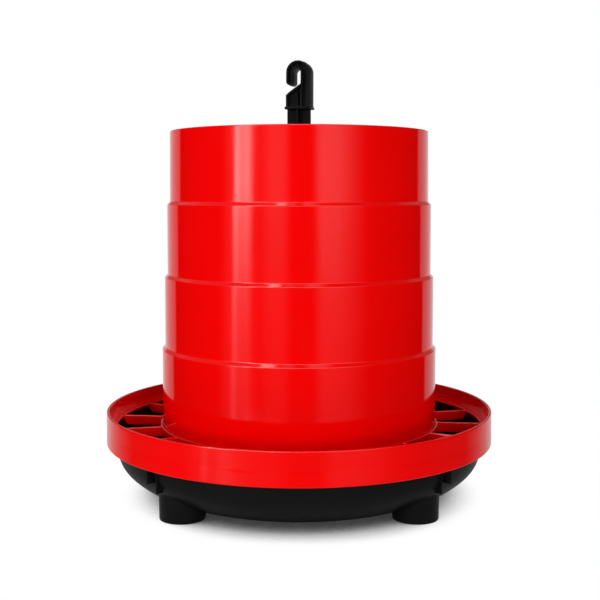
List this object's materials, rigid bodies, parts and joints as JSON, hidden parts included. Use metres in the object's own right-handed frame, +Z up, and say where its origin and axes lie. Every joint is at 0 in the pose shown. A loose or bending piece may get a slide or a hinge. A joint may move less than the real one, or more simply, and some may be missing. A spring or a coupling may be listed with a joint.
{
  "type": "tube feeder",
  "caption": "Round poultry tube feeder: stepped hopper in a spoked grid ring over a footed feed pan, with a centre rod that ends in a hanging hook.",
  "frame": {"origin": "on the floor under the four feet, on the axis of the hopper", "axes": "+Z up along the axis of the hopper, -Y towards the front, +X to the right seen from the front"},
  "size_m": [0.3808, 0.3808, 0.4214],
  "materials": {
    "red_plastic": "glossy injection-moulded polypropylene",
    "black_plastic": "satin injection-moulded polypropylene"
  },
  "bodies": {
    "root": {"hopper": "red_plastic", "grid_ring": "red_plastic", "pan": "black_plastic", "center_rod": "black_plastic", "hanging_hook": "black_plastic"}
  },
  "joints": []
}
